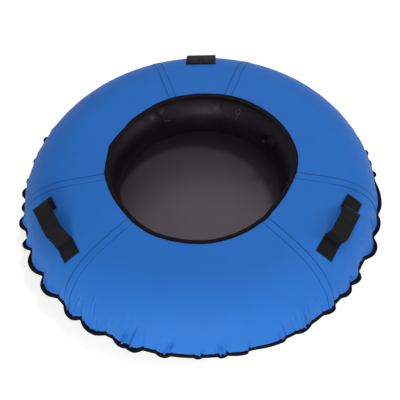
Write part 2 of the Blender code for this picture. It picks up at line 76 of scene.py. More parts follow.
# Folds that stand out from the gathered edge: direction, spread before and after it in degrees, reach in mm.
# Those from 155 round to 15 degrees are as in the photograph, and the rest are made up like them.
EDGE_FOLDS = (
    (20.5, 2.6, 2.2, 7), (29, 3.4, 3, 9), (39.5, 2.6, 4.2, 8), (50.5, 4.4, 3.4, 10), (61.5, 3, 2.4, 6),
    (70.5, 3.6, 4.6, 9), (81.5, 2.4, 3.2, 7), (91.5, 4.4, 3, 8), (101.5, 3, 3.6, 6), (111, 4.6, 2.8, 10),
    (121.5, 2.4, 3, 7), (131, 3.6, 4.4, 9), (141.5, 2.8, 2.4, 7), (149.5, 2.2, 2.8, 6),
    (158.3, 2.2, 2.4, 15.5), (167.6, 2, 1.8, 10), (171.9, 1.4, 1.6, 6), (176, 1.8, 2.4, 8),
    (180.9, 2.6, 3, 10), (186.9, 2.4, 2.2, 6), (193.2, 3.2, 3.2, 10.5), (201.4, 2.4, 2.6, 11),
    (209.5, 5.2, 5.2, 12.5), (219.2, 4.6, 4.9, 14), (231.3, 4.5, 2.8, 10.5), (238.7, 4.9, 4.4, 10),
    (248.9, 3.6, 2.3, 8), (251.9, 1.9, 3, 9), (260.8, 2.5, 2, 5), (270.2, 1.1, 1.2, 2.5),
    (276.8, 1.4, 1.6, 3.5), (283.4, 5.4, 0.9, 4.5), (293.9, 8.4, 1.4, 4), (301, 2.8, 2.9, 4.5),
    (311.6, 3.4, 1.6, 7), (318.8, 3, 2.6, 7), (324.7, 3.5, 2.2, 9), (335.8, 4.4, 4.5, 12.5),
    (345.2, 4.8, 3.9, 7.5), (353.2, 4.9, 9, 7), (365, 1.4, 1.6, 6), (370, 2, 1.8, 5), (374.2, 1.6, 1.8, 8),
)
# How far the edge lies out from its mean between the folds: direction in degrees, reach in mm
EDGE_LEVELS = (
    (40, -1), (90, 0), (140, 1), (155, 3), (178, 3), (189, 4), (199, 2), (205, 1), (215, -1.5), (226, 1),
    (243, 0), (256, 2), (270, 2.5), (285, 3), (297, 4), (305, 3), (314, 1), (321, 0), (329, -5), (341, -1),
    (348, -1), (361, 2), (372, 2),
)
# How far the filled cloth swells out above the edge: direction in degrees, swelling in mm
PUFF_LEVELS = (
    (40, 4), (90, 5), (155, 4), (185, 2.5), (195, 1.5), (210, 2), (222, 4), (232, 6), (262, 7), (290, 9),
    (303, 7), (314, 5), (330, 1.5), (345, -2.5), (363, -2.5), (375, -1),
)
# Ridges that run up the cloth, as in the photograph: direction of the foot and of the top in degrees, their
# distance from the edge and the height in mm, and the side of the deeper groove
RIDGES = (
    (229.4, 228.2, 2, 66, 2.2, 1), (231.9, 233.6, 0, 84, 3.8, -1), (233.9, 233.2, 12, 62, 2.4, 1),
    (238.6, 237.6, 0, 104, 3.2, -1), (240.4, 240.7, 0, 42, 3, 1), (248.6, 250.7, 0, 56, 4.2, -1),
    (251.2, 253.6, 0, 72, 4.6, -1), (260.8, 264, 0, 54, 4.4, 1), (262.4, 264.6, 4, 46, 2.6, 1),
    (270.6, 272.2, 2, 34, 3.4, 1), (276.4, 276.6, 0, 48, 4, -1), (277.6, 277.6, 2, 36, 2.6, 1),
    (283.9, 284.2, 0, 26, 2.4, 1), (294.2, 292.8, 0, 36, 3.2, -1), (294.8, 294.2, 6, 50, 2.4, 1),
    (301.3, 301.6, 0, 58, 3.8, 1), (302.6, 303.9, 20, 84, 1.8, 1), (307.5, 308, 8, 78, 2.2, 1),
    (310.9, 310.5, 0, 74, 2.6, 1), (322, 320.5, 0, 50, 2.6, 1), (330, 328.6, 0, 56, 2.8, -1),
    (193, 195, 0, 50, 3, -1), (203.8, 205, 0, 56, 3, 1), (217.5, 216, 0, 60, 2.6, -1),
)
# Powers that round a fold: of the distance from its middle, and of its height there
FOLD_POWERS = (2.4, 1.4)
FOLD_DROOP = 0.25
# A fold of this reach holds the edge tape fully out, and the seam that much further out, in metres
FULL_FLARE = 0.012
FLARE_OUT = 0.0035
FLARE_POWER = 1.5
# Waves in the height of the seam: how many go round it, reach in metres, turn
SEAM_WAVES = ((5, 0.0022, 1), (11, -0.0015, 0))
# Distances up the cloth over which what the edge does dies away, and over which a fold narrows, in metres
LEVEL_FADE = 0.030
FLARE_FADE = 0.020
FOLD_FADE = 0.026
FOLD_NARROWING = 0.012
SEAM_FADE = 0.012
PUFF_START = 0.006
PUFF_FADE = 0.030
PUFF_LOSS = 0.4

# Creases between the ridges, as the ranges that the dice choose from: stray from their place in degrees,
# reach up the cloth, depth and half width in metres, slant
FOOT_CREASE = ((-0.3, 0.3), (0.060, 0.090), (0.0034, 0.0050), (0.0022, 0.0032), (-0.12, 0.12))
SIDE_CREASE = ((1.0, 1.9), (0.050, 0.078), (0.0020, 0.0034), (0.0020, 0.0030), (-0.14, 0.04))
FREE_CREASE = ((-4, 4), (0.060, 0.100), (0.0010, 0.0018), (0.0016, 0.0024), (-0.35, 0.35))
# Where they start, in metres up from the seam
FOOT_START = -0.004
SIDE_START = -0.002
FREE_START = (0.004, 0.020)
FREE_SHARE = 0.7
BROAD_FOLD = 2.6
# Between these directions in degrees the photograph has its own ridges, and the creases show by this share
RIDGED = (190, 335)
RIDGED_SHARE = 0.35
CREASE_WIDENING = 0.6
# Share of the depth and place in half widths of the bulges beside a crease
CREASE_BULGE = (0.45, 2.2)
RIDGE_WIDTH = 0.0022
# The same for a ridge's two grooves
RIDGE_GROOVES = ((0.7, 1.9), (0.25, -2.1))
# Shares of their length at which they start, stand full and begin to die away
CREASE_WINDOW = (0.0, 0.12, 0.35)
RIDGE_WINDOW = (-0.1, 0.1, 0.45)

# Tapes: inner end, outer end, half thickness and swelling of their sections in metres
EDGE_TAPE = (-0.0010, 0.0112, 0.0028, 0.0003)
RIM_TAPE = (0.0006, -0.0118, 0.0017, 0.0002)
EDGE_STITCH = (0.0040, 0.0030)
EDGE_PITCH = 0.0045
RIM_STITCH = (-0.0022, 0.0016)
RIM_PITCH = 0.0040
TUCK = 0.0025
RIM_CLEAR = 0.001
RIM_FADE = 0.006
# Their turns in radians: the edge tape hangs down, and less so where a fold flares
TAPE_HANG = 0.58
TAPE_FLARE = 0.66
RIM_LEAN = -0.10

# Stitching
STITCH_ROW = 0.010
STITCH_PITCH = 0.0048
STITCH_LENGTH = 0.0037
THREAD_RADIUS = 0.0008
# A thread's form: share of its length, of its radius, and rise in radii
THREAD_FORM = ((0, 0.35, -0.9), (0.12, 0.85, -0.25), (0.5, 1, 0), (0.88, 0.85, -0.25), (1, 0.35, -0.9))
THREAD_SIDES = 6
# Cloth raised between the two rows of a seam, its slope beyond them, and the groove under each row
SEAM_RISE = 0.0009
SEAM_SHOULDER = (0.0004, 0.0022)
GROOVE_DEPTH = 0.0009
GROOVE_WIDTH = 0.0009

# Inner tube
TUBE_HALF_WIDTH = 0.121
TUBE_HALF_HEIGHT = 0.0928
TUBE_MIDDLE = 0.0943
# Height in metres and half width in radians of the mould's line round the hole
MOULD_LINE = (0.0005, 0.008)
# Pale smudges on the rubber: direction and place round the section in degrees, reach in metres
SMUDGES = ((124.8, 146.0, 0.016), (117.5, 142.5, 0.018), (79.0, 147.0, 0.022))
SMUDGE_STRENGTH = 0.72

# Webbing
STRAP_WIDTH = 0.045
STRAP_CLOTH = 0.0016
STRAP_BEVEL = 0.0005
BOX_PITCH = 0.0036
BOX_LENGTH = 0.0028
BOX_RISE = 0.62 * STRAP_CLOTH
HANDLE_RADIUS = 0.407
HANDLE_CLEAR = 0.0012
HANDLE_LEAN = 0.06
HANDLE_STATIONS = 161
# Rises over which the strap stops following the cloth, and over which it comes to lean
FREE_RISE = 0.012
LEAN_RISE = 0.035
# Middle line of each handle's strap: place along the ring and rise above the cloth, in mm
LEFT_ARCH = (
    (-97, 0.6), (-80, 0.6), (-64, 0.6), (-56, 1), (-53, 3.5), (-56, 15), (-60.5, 29), (-59, 37.8),
    (-48, 40.4), (-20, 40.8), (10, 40.4), (27, 39.2), (33, 35), (42, 21), (51, 8.2), (54.5, 4.6), (51.5, 1.6),
    (54.5, 0.6), (62, 0.6), (78, 0.6), (97, 0.6),
)
RIGHT_ARCH = (
    (-97, 0.6), (-80, 0.6), (-64, 0.6), (-53, 0.6), (-47, 3), (-46.5, 11), (-49, 25), (-47.5, 36.2),
    (-40, 39.8), (-20, 41), (10, 40.2), (27, 38.5), (35, 33), (43, 20), (50, 6), (53.5, 1.2), (60, 0.6),
    (78, 0.6), (97, 0.6),
)
TOW_START = 0.384
TOW_TAB = 0.046
TOW_STOPS = (0, 0.33, 0.66, 0.95)
TOW_LIFTS = (STRAP_CLOTH * 1.5 + 0.0010, STRAP_CLOTH * 0.5 + 0.0006)
TOW_PITCH = 0.0456
TOW_DROOP = math.radians(36)
TOW_HINGE = Vector((0.0, 0.43363, 0.172157))
TOW_STATIONS = 110
# Middle line of a tow loop from its hinge: place along its droop and rise above it, in mm
TOW_SHAPE = (
    (4, 1.2), (18, 2.2), (40, 2.2), (62, 1.4), (76, -1.2), (83.5, -6.5), (80.5, -12.5), (73, -12.8),
    (61, -8.5), (48, -3.5), (33, -0.9), (18, -0.8), (4, -0.8),
)
# Valve: where it stands, and the outlines of its pieces as (radius, height) in mm
VALVE_PLACE = Vector((0.202296, 0.116796, 0.132345))
VALVE_AXIS = Vector((-0.772234, -0.44585, 0.452628)).normalized()
VALVE_SLEEVE = (
    (4.1, -0.5), (4.1, 20.6), (4.4, 20.8), (4.6, 20.4), (4.7, 11), (5.4, 10.3), (6.8, 10), (7.5, 9.4),
    (7.7, 7), (8.2, 4.8), (9.8, 3.3), (12.5, 2.2), (16.8, 1), (18, 0.3), (18, -2),
)
VALVE_CAP = (
    (0.1, 30.3), (4.3, 30.3), (4.3, 21.3), (5, 21.2), (5.5, 21.6), (5.5, 29), (5.4, 30.6), (4.9, 31.4),
    (4, 31.7), (0.1, 31.8),
)
STEM_TOP = ((2.3, -5.5), (2.3, 30.0), (2.8, 30.3))
STEM_FOOT = ((4.0, 11.5), (4.0, -4.3), (6.5, -4.3), (6.5, -5.5))
# The stem's thread: one turn below its top, its number of turns and their pitch
THREAD_TURN = ((3.7, 30.5), (4.0, 30.3), (4.0, 30.0), (3.7, 29.8))
THREAD_TURNS = 24
TURN_PITCH = 0.8

# Studio
WHITE = (1, 1, 1)
FRONT_TINT = (1.0, 1.03, 0.95)
WORLD_LIGHT = 0.24
FLOOR_REACH = 6.0
FLOOR_GAP = 0.0005
FLOOR_LIFT = 0.40
FLOOR_FADE = (1.0, 2.6)
LIGHT_TARGET = (0, 0, 0.1)
# Name, place, size in metres, power in watts, colour
STUDIO_LIGHTS = (
    ("front", (-0.35, -2.85, 1.0), 0.8, 54, FRONT_TINT),
    ("front_high", (-0.55, -2.2, 2.2), 0.9, 13, FRONT_TINT),
    ("right", (2.2, -0.5, 1.5), 0.8, 15, WHITE),
    ("back", (0.0, 2.2, 2.2), 1.0, 14, WHITE),
    ("over", (0.80, 0.60, 3.0), 0.6, 27, WHITE),
)


def smooth(x):
    x = np.clip(x, 0.0, 1.0)
    return x * x * (3 - 2 * x)


def bell(x):
    return np.exp(-(x**2))


def full_turn(count):
    return np.linspace(0, math.tau, count, endpoint=False)


def around(radius, direction, height):
    """Points at a radius and direction from the middle and a height above the floor."""
    radius, direction, height = np.broadcast_arrays(radius, direction, height)
    return np.stack([radius * np.cos(direction), radius * np.sin(direction), height], -1)


def leaned(out, up, lean):
    """An (out, up) offset turned downwards by an angle."""
    return out * np.cos(lean) + up * np.sin(lean), up * np.cos(lean) - out * np.sin(lean)


# Camera, as the photograph was taken

FOCAL_PIXELS = 586.28
FRAME_PIXELS = 400
CAMERA_PLACE = Vector((-0.01915, -0.9996, 1.4089))
CAMERA_PITCH = 0.9501
CAMERA_YAW = 0.0165
CAMERA_ROLL = 0.0624
CAMERA_TURN = 0.0821


def make_camera():
    data = bpy.data.cameras.new("camera")
    data.lens = data.sensor_width * FOCAL_PIXELS / FRAME_PIXELS
    data.clip_start = 0.05
    camera = bpy.data.objects.new("camera", data)
    camera.matrix_world = (
        Matrix.Rotation(CAMERA_TURN, 4, "Z")
        @ Matrix.Translation(CAMERA_PLACE)
        @ Matrix.Rotation(-CAMERA_YAW, 4, "Z")
        @ Matrix.Rotation(math.pi / 2 - CAMERA_PITCH, 4, "X")
        @ Matrix.Rotation(-CAMERA_ROLL, 4, "Z")
    )
    scene.collection.objects.link(camera)
    scene.camera = camera


# Materials


class Nodes:
    """A node tree, its main shader and the short calls that build it."""

    def __init__(self, tree, shader):
        self.tree = tree
        self.shader = tree.nodes[shader]

    def fill(self, node, inputs):
        """Gives a node's inputs their values or links to other nodes' outputs."""
        for name, value in inputs.items():
            if isinstance(value, bpy.types.NodeSocket):
                self.tree.links.new(value, node.inputs[name])
            else:
                node.inputs[name].default_value = value

    def add(self, kind, inputs, output=0, **options):
        """An output of a new node."""
        node = self.tree.nodes.new("ShaderNode" + kind)
        for name, value in options.items():
            setattr(node, name, value)
        self.fill(node, inputs)
        return node.outputs[output]

    def place(self, kind="Object", scale=(1, 1, 1)):
        return self.add("Mapping", {"Vector": self.add("TexCoord", {}, kind), "Scale": scale})

    def noise(self, place, scale, detail=3.0, roughness=0.5):
        inputs = {"Vector": place, "Scale": scale, "Detail": detail, "Roughness": roughness}
        return self.add("TexNoise", inputs, "Fac")

    def bands(self, place, pitch, direction):
        """Even ridges at a pitch in the units of place."""
        scale = math.tau / (20 * pitch)
        return self.add("TexWave", {"Vector": place, "Scale": scale}, "Fac", bands_direction=direction)

    def maths(self, operation, first, second):
        return self.add("Math", {0: first, 1: second}, operation=operation)

    def ramp(self, value, *stops):
        colour = self.add("ValToRGB", {"Fac": value}, "Color")
        elements = colour.node.color_ramp.elements
        while len(elements) < len(stops):
            elements.new(0.5)
        for element, (position, shade) in zip(elements, stops):
            element.position = position
            element.color = (*shade, 1)
        return colour

    def spread(self, value, low, high):
        """A value from 0 to 1 carried to the span from low to high."""
        return self.add("MapRange", {"Value": value, "To Min": low, "To Max": high}, "Result")

    def near(self, place, middle, reach):
        """1 at a place and 0 from reach metres away."""
        away = self.add("VectorMath", {0: place, 1: middle}, "Value", operation="DISTANCE")
        return self.maths("MAXIMUM", self.maths("SUBTRACT", 1.0, self.maths("DIVIDE", away, reach)), 0.0)

    def bump(self, *heights):
        """A normal from (height, distance in metres) pairs, one on another."""
        below = {}
        for height, distance in heights:
            inputs = {"Height": height, "Distance": distance, "Strength": 1.0, **below}
            normal = self.add("Bump", inputs, "Normal")
            below = {"Normal": normal}
        return normal

    def seen_as(self, light, shown):
        """A strength: light for what it lights, and shown where the camera or a reflection sees it."""
        seen = self.add("LightPath", {}, "Is Camera Ray")
        for ray in ("Is Glossy Ray", "Is Transmission Ray"):
            seen = self.maths("MAXIMUM", seen, self.add("LightPath", {}, ray))
        return self.spread(seen, light, shown)


class Look(Nodes):
    """The nodes of a new material."""

    def __init__(self, name, colour, roughness, metallic=0.0):
        self.material = bpy.data.materials.new(name)
        self.material.use_nodes = True
        super().__init__(self.material.node_tree, "Principled BSDF")
        self.fill(self.shader, {"Base Color": (*colour, 1), "Roughness": roughness, "Metallic": metallic})

    def finish(self, colour, roughness, specular, normal, tint=(1, 1, 1)):
        """The material, with what its shader shows."""
        names = ("Base Color", "Roughness", "Specular IOR Level", "Normal", "Specular Tint")
        self.fill(self.shader, dict(zip(names, (colour, roughness, specular, normal, (*tint, 1)))))
        return self.material


def from_srgb(*levels):
    """Linear colour from 0 to 255 levels."""
    shares = [level / 255 for level in levels]
    return tuple(s / 12.92 if s <= 0.04045 else ((s + 0.055) / 1.055) ** 2.4 for s in shares)


def mixed(colour, share):
    return tuple(c * share for c in colour)


def cloth_material(name, colour, roughness, pitch, depth, spread=0.05, specular=0.13):
    """Plain woven cloth: crossed threads at a pitch, with slight fading in patches."""
    look = Look(name, colour, roughness)
    flat, solid = look.place("UV"), look.place()
    weave = look.maths("MULTIPLY", look.bands(flat, pitch, "X"), look.bands(flat, pitch, "Y"))
    patches = look.noise(solid, 9.0, 4.0)
    shown = look.ramp(patches, (0.3, mixed(colour, 1 - spread)), (0.7, mixed(colour, 1 + spread)))
    dull = look.spread(look.noise(solid, 40.0), roughness - 0.06, roughness + 0.06)
    return look.finish(shown, dull, specular, look.bump((patches, 0.0006), (weave, depth)))


def webbing_material(name, colour):
    """Flat woven webbing: close ribs across it, with fine lines along it."""
    look = Look(name, colour, 0.8)
    flat = look.place("UV")
    ribs, lines = look.bands(flat, 0.0011, "X"), look.bands(flat, 0.0018, "Y")
    weave = look.maths("ADD", look.maths("MULTIPLY", ribs, 0.6), look.maths("MULTIPLY", lines, 0.4))
    wear = look.noise(look.place(), 60.0, 5.0)
    shown = look.ramp(wear, (0.3, mixed(colour, 0.8)), (0.75, mixed(colour, 1.35)))
    return look.finish(shown, 0.8, 0.12, look.bump((wear, 0.0003), (weave, 0.00025)))


def rubber_material(name, colour):
    """Butyl rubber with a dull bloom, faint scuffs and a few pale smudges."""
    look = Look(name, colour, 0.38)
    solid = look.place()
    bloom = look.noise(solid, 7.0, 5.0, 0.6)
    scuffs = look.spread(look.noise(look.place(scale=(60, 60, 9)), 2.0, 6.0, 0.7), 0.8, 1.25)
    for direction, angle, reach in SMUDGES:
        place = tube_point(math.radians(direction), math.radians(angle))
        smudge = look.maths("MULTIPLY", look.near(solid, place, reach), look.noise(solid, 160.0, 4.0, 0.7))
        bloom = look.maths("ADD", bloom, look.maths("MULTIPLY", smudge, SMUDGE_STRENGTH))
    stops = (0.42, colour), (0.6, mixed(colour, 1.5)), (0.75, mixed(colour, 2.6)), (1, from_srgb(66, 60, 66))
    shown = look.ramp(look.maths("MULTIPLY", bloom, scuffs), *stops)
    normal = look.bump((bloom, 0.0008), (look.noise(solid, 400.0, 2.0), 0.00006))
    return look.finish(shown, look.spread(bloom, 0.34, 0.50), 0.12, normal, (1, 0.88, 1))


def base_material(name, colour):
    """Heavy coated cloth: smooth and slightly shiny, with the weave just showing through."""
    look = Look(name, colour, 0.42)
    flat, solid = look.place("UV"), look.place()
    weave = look.maths("MULTIPLY", look.bands(flat, 0.0012, "X"), look.bands(flat, 0.0012, "Y"))
    dust = look.noise(solid, 12.0, 6.0, 0.6)
    shown = look.ramp(dust, (0.3, mixed(colour, 0.9)), (0.7, mixed(colour, 1.12)))
    normal = look.bump((look.noise(solid, 18.0, 2.0), 0.0006), (weave, 0.00008))
    return look.finish(shown, look.spread(dust, 0.50, 0.62), 0.70, normal, (1, 0.84, 1))


def plain_material(name, colour, roughness, metallic=0.0, grain=300.0, specular=0.5):
    """One even colour with a fine grain."""
    look = Look(name, colour, roughness, metallic)
    solid = look.place()
    fine = look.noise(solid, grain, 4.0)
    shown = look.ramp(fine, (0.3, mixed(colour, 0.85)), (0.7, mixed(colour, 1.15)))
    dull = look.spread(look.noise(solid, grain / 6), roughness - 0.08, roughness + 0.08)
    return look.finish(shown, dull, specular, look.bump((fine, 0.00004)))


# Meshes


def add_mesh(name, points, faces, material):
    """An object of the scene with a new mesh."""
    mesh = bpy.data.meshes.new(name)
    mesh.from_pydata(np.reshape(points, (-1, 3)).tolist(), [], faces)
    mesh.materials.append(materials[material])
    mesh.shade_smooth()
    obj = bpy.data.objects.new(name, mesh)
    scene.collection.objects.link(obj)
    return obj


def reach_along(route):
    """How far each point of a route is along it."""
    return np.concatenate([[0], np.cumsum(np.linalg.norm(np.diff(route, axis=0), axis=1))])


def points_at(route, places):
    """Points at distances along a route."""
    reach = reach_along(route)
    return np.stack([np.interp(places, reach, part) for part in route.T], -1)


def grid_object(name, points, flat, material, ring=False, tube=False, filled=False):
    """A sheet from rows of points, with its flat pattern's coordinates as its UVs.

    A ring joins each row's ends, a tube the last row to the first, and a filled one closes its first row."""
    rows, columns = points.shape[:2]
    down, across = rows - (not tube), columns - (not ring)
    i, j = np.meshgrid(np.arange(down), np.arange(across), indexing="ij")
    i2, j2 = (i + 1) % rows, (j + 1) % columns
    corners = np.stack([i * columns + j, i2 * columns + j, i2 * columns + j2, i * columns + j2], -1)
    faces = corners.reshape(-1, 4).tolist()
    u, v = (np.broadcast_to(part, (rows, columns)) for part in flat)
    u = np.concatenate([u, 2 * u[:, -1:] - u[:, -2:-1]], 1)
    v = np.concatenate([v, 2 * v[-1:] - v[-2:-1]], 0)
    u = np.concatenate([u, u[:1]], 0)
    v = np.concatenate([v, v[:, :1]], 1)
    at = [(i, j), (i + 1, j), (i + 1, j + 1), (i, j + 1)]
    place = np.stack([np.stack([u[a], v[a]], -1) for a in at], -2).reshape(-1, 2)
    if filled:
        faces.append(list(range(columns)))
        place = np.concatenate([place, np.stack([u[0, :columns], v[0, :columns]], -1)])
    obj = add_mesh(name, points, faces, material)
    obj.data.uv_layers.new(name="flat").data.foreach_set("uv", place.ravel().astype(np.float32))
    return obj


def add_thickness(obj, thickness, offset, bevel_width=0.0):
    """Makes a sheet solid, on its normals' side for an offset of 1 and on both sides for 0."""
    solid = obj.modifiers.new("Thickness", "SOLIDIFY")
    solid.thickness = thickness
    solid.offset = offset
    solid.use_even_offset = True
    if bevel_width:
        bevel = obj.modifiers.new("Edge", "BEVEL")
        bevel.width = bevel_width
        bevel.segments = 2
        bevel.limit_method = "ANGLE"
        bevel.angle_limit = math.radians(60)
    graph = bpy.context.evaluated_depsgraph_get()
    mesh = bpy.data.meshes.new_from_object(obj.evaluated_get(graph), depsgraph=graph)
    obj.modifiers.clear()
    obj.data = mesh
    mesh.shade_smooth()
    mesh.set_sharp_from_angle(angle=math.radians(50))
    return obj


def settle(obj, slot, body, *nodes):
    """Attaches a finished piece to its body and hides the nodes that it stands for; the slot is not used."""
    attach(obj, body)
    if nodes:
        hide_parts(*nodes)


# The cover's surface


def stray_table(direction, stops):
    """Reach in metres at a direction, from a table of (degrees, mm)."""
    stops = np.array(sorted((degrees % 360, reach / 1000) for degrees, reach in stops))
    return np.interp(np.degrees(direction) % 360, stops[:, 0], stops[:, 1], period=360)


def hole_stray(direction):
    stray = stray_table(direction, HOLE_KINKS)
    for count, reach, crest in HOLE_STRAY:
        stray += reach * np.cos(count * (direction - math.radians(crest)))
    return stray


def section_table(bottom, top):
    """Arc lengths from the crown, radii, heights and normals of a quarter of the section."""
    angle = np.linspace(0, math.pi / 2, 1500)
    out = np.sin(angle) ** (2 / SECTION_POWER)
    up = np.clip(np.cos(angle), 0, 1) ** (2 / SECTION_POWER)
    radius = CROWN_RADIUS + (SEAM_RADIUS - CROWN_RADIUS) * out
    height = bottom + (top - bottom) * up
    length = reach_along(np.stack([radius, height], -1))
    slope_r, slope_z = np.gradient(radius, length), np.gradient(height, length)
    size = np.hypot(slope_r, slope_z)
    return length, radius, height, -slope_z / size, slope_r / size


TOP_SECTION = section_table(SEAM_TOP, CROWN_HEIGHT)
TOP_LENGTH = TOP_SECTION[0][-1]
BASE_SECTION = section_table(SEAM_BOTTOM, 0.0)
BASE_LENGTH = BASE_SECTION[0][-1]


def turn_from(direction, middle):
    """Angle from middle to direction, the short way round."""
    return (direction - middle + math.pi) % math.tau - math.pi


def fold_shares(direction):
    """For each fold of the edge, how strongly it shows at a direction, from 0 to 1, and its reach."""
    across_power, height_power = FOLD_POWERS
    for middle, before, after, reach in EDGE_FOLDS:
        away = np.degrees(turn_from(direction, math.radians(middle)))
        share = np.abs(away) / np.where(away < 0, before, after)
        yield np.clip(1 - share**across_power, 0, 1) ** height_power, reach / 1000


def edge_flare(direction):
    """From 0 where the edge hangs down to 1 where a fold holds it out."""
    flares = (share * min(1, (reach / FULL_FLARE) ** FLARE_POWER) for share, reach in fold_shares(direction))
    return np.clip(sum(flares), 0, 1)


def edge_lean(direction):
    """How far the edge tape hangs down, as an angle."""
    return TAPE_HANG - TAPE_FLARE * edge_flare(direction)


def edge_shift(direction):
    """(outward, upward) shift of the gathered seam."""
    folds = sum(share * reach for share, reach in fold_shares(direction))
    out = stray_table(direction, EDGE_LEVELS) + folds + FLARE_OUT * edge_flare(direction)
    up = sum(reach * np.sin(count * direction + turn) for count, reach, turn in SEAM_WAVES)
    return out, up - FOLD_DROOP * folds


def made_up(degrees):
    """How far the dice's creases show: less where the photograph's own ridges are."""
    first, last = RIDGED
    return RIDGED_SHARE if first < degrees % 360 < last else 1.0


def make_crease(kind, place, share, side=1):
    """(direction, reach up the cloth, depth, half width, slant) chosen from a kind's ranges."""
    stray, reach, depth, width, slant = (dice.uniform(*span) for span in kind)
    return math.radians(place + side * stray), reach, depth * share, width, side * slant


def make_creases():
    """Each crease by the edge, with the distance from the seam at which it starts."""
    found = []
    for middle, before, after, reach in EDGE_FOLDS:
        for place in (middle - before, middle + after):
            share = min(1, 0.4 + reach / 14) * made_up(place)
            found.append((*make_crease(FOOT_CREASE, place, share), FOOT_START))
        if min(before, after) > BROAD_FOLD:
            for side in (-1, 1):
                found.append((*make_crease(SIDE_CREASE, middle, made_up(middle), side), SIDE_START))
        if dice.random() < FREE_SHARE:
            found.append((*make_crease(FREE_CREASE, middle, made_up(middle)), dice.uniform(*FREE_START)))
    return found


CREASES = make_creases()


def shown_from(share, start, full, fall):
    """0 up to start, 1 from full to fall, and back to 0 at a share of 1."""
    return smooth((share - start) / (full - start)) * (1 - smooth((share - fall) / (1 - fall)))


def gather_depth(direction, to_seam):
    """How far the cloth is pushed out by the gathers, at a distance up from the seam."""
    flare = edge_flare(direction)
    push = stray_table(direction, EDGE_LEVELS) * np.exp(-to_seam / LEVEL_FADE)
    push += FLARE_OUT * flare * np.exp(-to_seam / FLARE_FADE)
    puff = stray_table(direction, PUFF_LEVELS) * (1 - PUFF_LOSS * flare)
    push += puff * smooth(to_seam / PUFF_START) * np.exp(-to_seam / PUFF_FADE)
    for share, reach in fold_shares(direction):
        push += reach * share ** (1 + to_seam / FOLD_NARROWING) * np.exp(-to_seam / FOLD_FADE)
    bulge, beside = CREASE_BULGE
    for middle, reach, depth, width, slant, start in CREASES:
        across = turn_from(direction, middle) * SEAM_RADIUS - slant * to_seam
        share = np.clip((to_seam - start) / reach, 0, 1)
        across = np.abs(across) / (width * (1 + CREASE_WIDENING * share))
        form = bulge * bell(across - beside) - bell(across)
        push += depth * shown_from(share, *CREASE_WINDOW) * form
    for foot, top, start, end, height, groove_side in RIDGES:
        share = (1000 * to_seam - start) / (end - start)
        middle = np.radians(foot + (top - foot) * np.clip(share, 0, 1))
        across = turn_from(direction, middle) * groove_side * SEAM_RADIUS / RIDGE_WIDTH
        form = bell(across) - sum(depth * bell(across - place) for depth, place in RIDGE_GROOVES)
        push += height / 1000 * shown_from(share, *RIDGE_WINDOW) * form
    return push


SEAMS = sorted(
    (math.radians(middle) + side * NARROW_HALF) % math.tau
    for middle in NARROW_PANELS.values()
    for side in (-1, 1)
)


def seam_relief(direction, radius):
    """Raised cloth between the two stitch rows of a panel seam, and the grooves under the thread."""
    relief = 0.0
    edge, slope = SEAM_SHOULDER
    for seam in SEAMS:
        away = np.abs(turn_from(direction, seam)) * radius - STITCH_ROW
        relief += SEAM_RISE * (1 - smooth((away - edge) / slope))
        relief -= GROOVE_DEPTH * bell(away / GROOVE_WIDTH)
    return relief


def section_at(section, along):
    """(radius, height, outward and upward parts of the normal) at distances from the crown, flat below 0."""
    length, radius, height, normal_r, normal_z = section
    inside = along < 0
    return (
        np.where(inside, CROWN_RADIUS + along, np.interp(along, length, radius)),
        np.interp(along, length, height),
        np.where(inside, 0.0, np.interp(along, length, normal_r)),
        np.where(inside, 1.0, np.interp(along, length, normal_z)),
    )


def cover_point(direction, along, lift=0.0):
    """Points of the top cloth: along is the distance out from the crown, below 0 towards the hole."""
    direction, along = np.broadcast_arrays(direction, along)
    reach = 1 - hole_stray(direction) / FLAT_WIDTH
    out, up, n_r, n_z = section_at(TOP_SECTION, np.where(along < 0, along * reach, along))
    to_seam = TOP_LENGTH - np.clip(along, 0, TOP_LENGTH)
    shown = smooth(to_seam / SEAM_FADE) * smooth((along + FLAT_WIDTH - RIM_CLEAR) / RIM_FADE)
    push = np.where(along < 0, 0.0, gather_depth(direction, to_seam))
    push += seam_relief(direction, out) * shown + lift
    edge_up = np.where(along < 0, 0.0, edge_shift(direction)[1] * np.exp(-to_seam / SEAM_FADE))
    return around(out + n_r * push, direction, up + n_z * push + edge_up)


def top_rows():
    """Distances from the crown at which the top cloth has its points."""
    flat = np.linspace(-FLAT_WIDTH - 0.007, -0.004, 20)
    near = np.concatenate([np.arange(0, 0.05, 0.0018), np.arange(0.05, 0.10, 0.0028)])
    far = np.linspace(0, TOP_LENGTH - 0.104, 26)
    return np.concatenate([flat, far, (TOP_LENGTH - near)[::-1]])


def panel_directions(start, end, radius):
    """Directions of a panel's columns at each radius, closer together by its seams."""
    near = np.array([0.1, 0.6, 1.2, 2, 4, 6.5, 8, 8.8, 9.4, 10, 10.6, 11.2, 12, 13, 15, 18, 22]) / 1000
    count = int((end - start) * SEAM_RADIUS / 0.0013)
    middle = np.linspace(0, 1, count)[1:-1]
    radius = radius[:, None]
    left = start + near / radius
    right = end - near[::-1] / radius
    between = left[:, -1:] + (right[:, :1] - left[:, -1:]) * middle
    return np.concatenate([left, between, right], 1)


